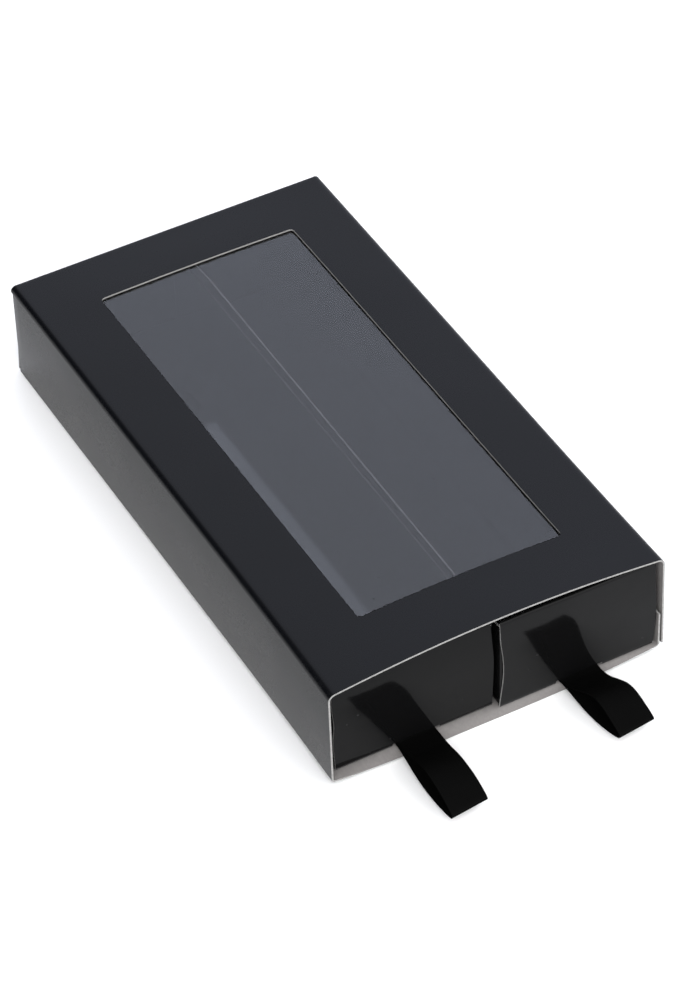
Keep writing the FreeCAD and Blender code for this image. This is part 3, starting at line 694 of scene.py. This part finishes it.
def make_tray(side, printed, inside, raw, top_edge):
    """One sheet of card: floor, long walls with dust flaps, and front and back walls rolled over them."""
    card, half, fold, flap = TRAY["card"], TRAY["half"], TRAY["fold"], TRAY["flap"]
    centre, face = TRAYS[side]["middle"], TRAYS[side]["front"]
    middle = half - card / 2
    front, back = face + card / 2, face + TRAY["length"] - card / 2
    floor, top, side_top = TRAY["floor"] + card / 2, TRAY["top"] - card / 2, TRAY["side_top"]
    step = TRAY["wall"] - card
    flap_front, flap_back = front + TRAY["layer"], back - TRAY["layer"]
    roll_fold, foot_gap = TRAY["roll_fold"], 0.4
    narrower_at_foot, narrower_at_top = 0.7, 0.4
    piece = add_panel(f"tray_card_{side}", (0, (front + back) / 2, floor), (2 * middle, back - front))
    slice_at(("y", flap_front), ("y", flap_back))

    # End walls: up, over and down again inside, a little narrower there.
    for end, way in ((front, 1), (back, -1)):
        inner = end + way * step
        pick("EDGE", lambda p: near(p.y, end) and near(p.z, floor))
        pull(0, 0, top - floor)
        pull(0, inner - end, 0)
        pull(0, 0, floor + foot_gap - top)
        pick("VERT", lambda p: near(p.y, inner) and p.z < top - 1)
        scale_picked(x=(middle - narrower_at_foot) / middle)
        pick("VERT", lambda p: near(p.y, inner) and near(p.z, top))
        scale_picked(x=(middle - narrower_at_top) / middle)

    # Long walls, each with a dust flap at both ends.
    for sign in (-1, 1):

        def at_foot(p):
            between_flaps = flap_front - 0.1 < p.y < flap_back + 0.1
            return near(p.x, sign * middle) and near(p.z, floor) and between_flaps

        pick("EDGE", at_foot)
        pull(0, 0, side_top - floor)
        for end in (flap_front, flap_back):

            def at_corner(p):
                return near(p.x, sign * middle) and near(p.y, end) and p.z > floor - 0.1

            pick("EDGE", at_corner)
            pull(-sign * flap, 0, 0)
            pick("VERT", lambda p: near(p.x, sign * (middle - flap)) and near(p.y, end))
            scale_picked(z=TRAY["flap_taper"])
            crease(at_corner, TRAY["flap_fold"], 2)
        crease(at_foot, fold)

    # Cross folds.
    for end, way in ((front, 1), (back, -1)):
        crease(lambda p: near(p.y, end) and near(p.z, floor), fold)
        crease(lambda p: near(p.y, end) and near(p.z, top), roll_fold, 4)
        crease(lambda p: near(p.y, end + way * step) and near(p.z, top), roll_fold, 4)
    slice_at(
        *(("y", place) for place in range(-80, 81, 10)),
        *(("z", place) for place in range(2, 29, 2)),
        *(("x", place) for place in range(-22, 23, 2)),
    )
    close_sheet()

    def corner_rise(p):
        """The long walls and dust flaps stand as high as the end walls at the corners."""
        in_roll = min(abs(p.y - front - step), abs(p.y - back + step)) < roll_fold + SLACK
        from_end = min(p.y - flap_front, flap_back - p.y)
        if in_roll or from_end < -0.05 or p.z > side_top + 0.1:
            return 0.0
        along = unit(1 - from_end / CORNER_RISE["length"])
        across = max(0.0, 1 - (middle - abs(p.x)) / flap)
        return CORNER_RISE["height"] * (along * across) * (p.z / side_top) ** 4

    def settle(p):
        back_lean = panel_lean(side, p.x, p.z) * max(0.0, 1 - (p.y - front) / step)
        foot = foot_drop(centre + p.x, p.y, p.z)
        if p.y > front + 0.1:
            return (centre + wall_lean(side, p), back_lean, corner_rise(p) - foot)
        return (centre + end_wave(side, p.x, p.z), back_lean, -foot)

    shape_points(piece, settle)
    thicken(piece, card, printed, inside, raw)
    piece.data.materials.append(top_edge)

    # The long walls' top edges have a material of their own, and the cut edges near the face are dark. The
    # front panel keeps its raw edge.
    printed_index, raw_index, top_edge_index = 0, 2, 3
    for patch in piece.data.polygons:
        if patch.material_index != raw_index:
            continue
        at, behind_face = patch.center, patch.center.y - face
        panel_back = 0.5 + panel_lean(side, at.x - centre, at.z)
        if near(at.z, side_top, 0.1) and abs(patch.normal.z) > 0.7:
            dark = behind_face <= DARK_EDGES["top_length"]
            patch.material_index = printed_index if dark else top_edge_index
        elif at.z > DARK_EDGES["upright_from_z"] and panel_back < behind_face < DARK_EDGES["upright_depth"]:
            patch.material_index = printed_index

    slot = add_block(
        "slot_cutter",
        (centre + SLOT["left"], face - 1, 0),
        (centre + SLOT["right"], face + SLOT["depth"], SLOT["top"]),
    )
    cut_out(piece, slot, raw)
    finish_piece(piece, f"drawer_{side}", "tray_card", f"tray_{side}")


# ---------------------------------------------------------------- ribbons


def inside_wall(behind, shift, *heights):
    """The straight run of a ribbon's end inside the front wall."""
    return [(behind, height, shift, 0, 0) for height in heights]


# From the ribbon's end inside the front wall, over the loop's top, round its tip and back under it to the
# other end: place behind the tray's front, height, shift to the right, swing of the cross line and its tilt
# in degrees.
RIBBON_WAYS = {
    "left": [
        *inside_wall(0.675, 0.2, 12.8, 6.0, 1.95),
        (0.2, 1.4, 0.3, 0, 0),
        (-0.6, 1.36, 0.3, 0, 0),
        (-3, 1.75, 0.2, 0, -1),
        (-7, 2.8, -0.1, 1, -4),
        (-10.5, 4.3, -0.5, 2, -7),
        (-14, 5.6, -0.8, 4, -8),
        (-17.5, 5.85, -0.9, 5, -7),
        (-22, 4.9, -0.8, 6, -4),
        (-26, 3.3, -0.7, 6.4, -2),
        (-27.9, 2.3, -0.7, 6.4, -1),
        (-28.2, 1.5, -0.7, 6.4, 0),
        (-27.2, 0.8, -0.7, 6.4, 0),
        (-24, 0.05, -0.7, 6, 0),
        (-18, -0.6, -0.7, 4, 0),
        (-12, -0.4, -0.6, 2, 0),
        (-6, 0.4, -0.3, 0, 0),
        (-1.0, 0.93, 0, 0, 0),
        (0.3, 1.0, 0, 0, 0),
        *inside_wall(1.075, 0, 1.9, 6.0, 12.8),
    ],
    "right": [
        *inside_wall(0.675, 0.3, 12.8, 6.0, 1.95),
        (0.2, 1.4, 0.3, 0, 0),
        (-0.6, 1.36, 0.3, 0, 0),
        (-2.5, 1.6, 0.3, 0, -2),
        (-6, 2.8, 0.5, 2, -6),
        (-9.5, 4.5, 1.0, 4, -8),
        (-13, 5.6, 1.6, 5, -7),
        (-16.5, 5.2, 2.0, 6, -4),
        (-20.5, 3.6, 2.3, 6.4, -2),
        (-23.4, 2.2, 2.5, 6.4, -1),
        (-23.9, 1.5, 2.5, 6.4, 0),
        (-23.1, 0.7, 2.5, 6.4, 0),
        (-20.5, -0.2, 2.3, 6, 0),
        (-15, -1.0, 1.7, 4, 0),
        (-10, -0.7, 1.1, 2, 0),
        (-5, 0.2, 0.6, 0, 0),
        (-1.0, 0.9, 0.2, 0, 0),
        (0.3, 1.0, 0, 0, 0),
        *inside_wall(1.075, 0, 1.9, 6.0, 12.8),
    ],
}
LINES_PER_KNOT = 6


def ribbon_rows(side):
    """The strip's cross lines, each as its middle and its way across."""
    tray = TRAYS[side]
    knots = RIBBON_WAYS[side]
    rows = []
    for i in range(len(knots) - 1):
        near_knots = [knots[max(0, min(j, len(knots) - 1))] for j in (i - 1, i, i + 1, i + 2)]
        last = 1 if i == len(knots) - 2 else 0
        for step in range(LINES_PER_KNOT + last):
            behind, height, shift, swing, tilt = (
                eased(here, there, (there - before) / 2, (after - here) / 2, step / LINES_PER_KNOT)
                for before, here, there, after in zip(*near_knots)
            )
            swing, tilt = math.radians(swing), math.radians(tilt)
            middle = Vector((tray["middle"] + shift, tray["front"] + behind, height))
            across = Vector((math.cos(swing) * math.cos(tilt), math.sin(swing), math.sin(tilt)))
            rows.append((middle, across))
    return rows


def make_ribbon_strip(side, woven, edge):
    """A flat woven strip laid along its way. Its UV map holds each point's place on the flat strip."""
    rows = ribbon_rows(side)
    walked = [0.0]
    for (here, _), (there, _) in zip(rows, rows[1:]):
        walked.append(walked[-1] + (there - here).length)
    width, columns = RIBBON["width"], 6
    piece = add_grid(f"ribbon_strip_{side}", (columns, len(rows) - 1), (width, walked[-1]))
    across = [vertex.co.x for vertex in piece.data.vertices]
    levels = sorted({round(vertex.co.y, 4) for vertex in piece.data.vertices})
    row_numbers = [levels.index(round(vertex.co.y, 4)) for vertex in piece.data.vertices]
    for loop, point in zip(piece.data.loops, piece.data.uv_layers.active.data):
        index = loop.vertex_index
        point.uv = ((across[index] + width / 2) * MM, walked[row_numbers[index]] * MM)
    for vertex, number, side_step in zip(piece.data.vertices, row_numbers, across):
        middle, way = rows[number]
        vertex.co = middle + way * side_step
    piece.data.materials.append(woven)
    piece.data.materials.append(edge)
    add_modifier(piece, "SOLIDIFY", thickness=RIBBON["thickness"], offset=0, material_offset_rim=1)
    finish_piece(piece, f"drawer_{side}", "ribbon", f"ribbon_{side}", angle=50)


# ---------------------------------------------------------------- the object

printed_sleeve = make_printed_sleeve()
bare_board = make_unprinted_board("bare_board", (0.175, 0.166, 0.161), 1400)
raw_edge = make_unprinted_board("raw_edge", (0.30, 0.296, 0.288), 2400, depth=0.5)
# The window's cut edge is the raw edge's card painted darker: painted shade for the cut faces that lie in
# shadow inside the window.
window_cut_painted_shade = make_unprinted_board("window_cut_painted_shade", (0.24, 0.235, 0.23), 2400)
# The long walls' top edges are nearly black on the left tray and dark grey on the right.
wall_edges = {
    "left": make_unprinted_board("black_wall_top_edge", (0.005, 0.005, 0.005), 2400),
    "right": make_unprinted_board("grey_wall_top_edge", (0.065, 0.065, 0.065), 2400),
}
# The two trays' coatings differ in gloss and in the painted light at the foot, which is stronger on the
# left tray.
printed_trays = {
    "left": make_printed_tray("printed_tray_left", gloss=0.092, blur=0.075, waves=0.00016, foot_painted_light=0.75),
    "right": make_printed_tray("printed_tray_right", gloss=0.112, blur=0.075, waves=0.00016, foot_painted_light=0.2),
}
glossy_inside = make_printed_tray("glossy_inside", gloss=0.2, blur=0.06, waves=0.00008)
clear_film = make_film()
dry_glue = make_glue()
clear_tape = make_tape()
black_ribbon = make_ribbon("black_grosgrain", sheen=0.015)
ribbon_edge = make_ribbon("ribbon_selvage", sheen=0.0)

make_sleeve(printed_sleeve, bare_board, raw_edge, window_cut_painted_shade)
make_film_sheet(clear_film)
for tray_side in TRAYS:
    make_tray(tray_side, printed_trays[tray_side], glossy_inside, raw_edge, wall_edges[tray_side])
    make_ribbon_strip(tray_side, black_ribbon, ribbon_edge)

NODE_MATERIALS = {
    "window_glue": dry_glue,
    "seam_glue": dry_glue,
    "back_glue": dry_glue,
    "ribbon_tape_left": clear_tape,
    "ribbon_tape_right": clear_tape,
}
for node_name, material in NODE_MATERIALS.items():
    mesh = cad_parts[node_name].data
    mesh.materials.clear()
    mesh.materials.append(material)

# ---------------------------------------------------------------- stage, light and camera


def make_floor():
    """The floor touches the curl at the mouth and the rear bottom edge, so it leans by 0.6 degrees."""
    leave_all()
    lean = math.atan2(LIP_DROP, SLEEVE["back"] - SLEEVE["mouth"])
    rear_edge = (0, SLEEVE["back"] * MM, -SLACK * MM)
    bpy.ops.mesh.primitive_plane_add(size=6, location=rear_edge, rotation=(lean, 0, 0))
    floor = bpy.context.active_object
    floor.name = "floor"
    finish = Finish("pale_floor")
    mottle = finish.grain(finish.place(), 3, 2)
    floor.data.materials.append(
        finish.surface(
            base_color=finish.blend(mottle, colour(0.96, 0.96, 0.96), colour(0.98, 0.98, 0.98)),
            roughness=0.75,
            specular_ior_level=0.1,
        )
    )


# The studio's even shade, and the wide patches that lighten or darken it: direction, the degrees from there
# within which a patch is full and beyond which it is gone, strength and tint.
EVEN_SHADE = (0.665, 0.67, 0.69)
PATCHES = [
    ((0.43, 0.69, 0.58), 14, 40, 1.0, (0.70, 0.77, 1.0)),
    ((-0.5, -0.8, 0.5), 20, 45, 2.25, (1, 1, 1)),
    ((0.5, -0.8, 0.5), 20, 45, 1.94, (1, 1, 1)),
    ((-0.64, 0.68, 0.32), 28, 48, -0.65, (1, 1, 1)),
    ((0, 0, 1), 30, 60, 0.4, (1, 1, 1)),
]


def make_world():
    """An even studio: soft lights behind, before and above the box, and a darker patch at its back left."""
    world = bpy.data.worlds.new("studio")
    bpy.context.scene.world = world
    world.use_nodes = True
    background = world.node_tree.nodes["Background"]
    studio = Nodes(world.node_tree)
    way = studio.place("Generated")
    shade = EVEN_SHADE
    for direction, full, gone, strength, tint in PATCHES:
        facing = studio.vector_math("DOT_PRODUCT", {0: way, 1: Vector(direction).normalized()}, output=1)
        glow = facing.ramp(math.cos(math.radians(gone)), math.cos(math.radians(full))) * strength
        light = studio.vector_math("SCALE", {0: tint, 3: glow})
        shade = studio.vector_math("ADD", {0: shade, 1: light})
    studio.feed(background.inputs["Color"], shade)
    background.inputs["Strength"].default_value = 1.0


def add_softbox(name, place, target, size, power):
    """A square area light that faces its target."""
    light = bpy.data.lights.new(name, "AREA")
    light.shape = "RECTANGLE"
    light.size = light.size_y = size
    light.energy = power
    holder = bpy.data.objects.new(name, light)
    bpy.context.scene.collection.objects.link(holder)
    holder.location = place
    holder.rotation_euler = (Vector(target) - Vector(place)).to_track_quat("-Z", "Y").to_euler()


def make_camera():
    """The camera stands above the box, in front of it and on its left, turned to its own three axes."""
    camera = bpy.data.cameras.new("camera")
    camera.sensor_fit = "VERTICAL"
    camera.sensor_height = 36
    camera.lens = 151.9
    camera.clip_start = 0.01
    holder = bpy.data.objects.new("camera", camera)
    bpy.context.scene.collection.objects.link(holder)
    place = (-0.3746, -0.7286, 0.7603)
    right, up, forward = (0.8752, -0.4829, -0.0271), (0.346, 0.586, 0.7327), (0.338, 0.6507, -0.680)
    turn = Matrix((right, up, [-part for part in forward])).transposed()
    holder.matrix_world = Matrix.Translation(place) @ turn.to_4x4()
    bpy.context.scene.camera = holder


make_floor()
make_world()
add_softbox("front_softbox", (-0.45, -0.75, 0.85), (-0.05, -0.05, 0), 0.6, 2.0)
make_camera()
bpy.context.scene.view_settings.view_transform = "Standard"
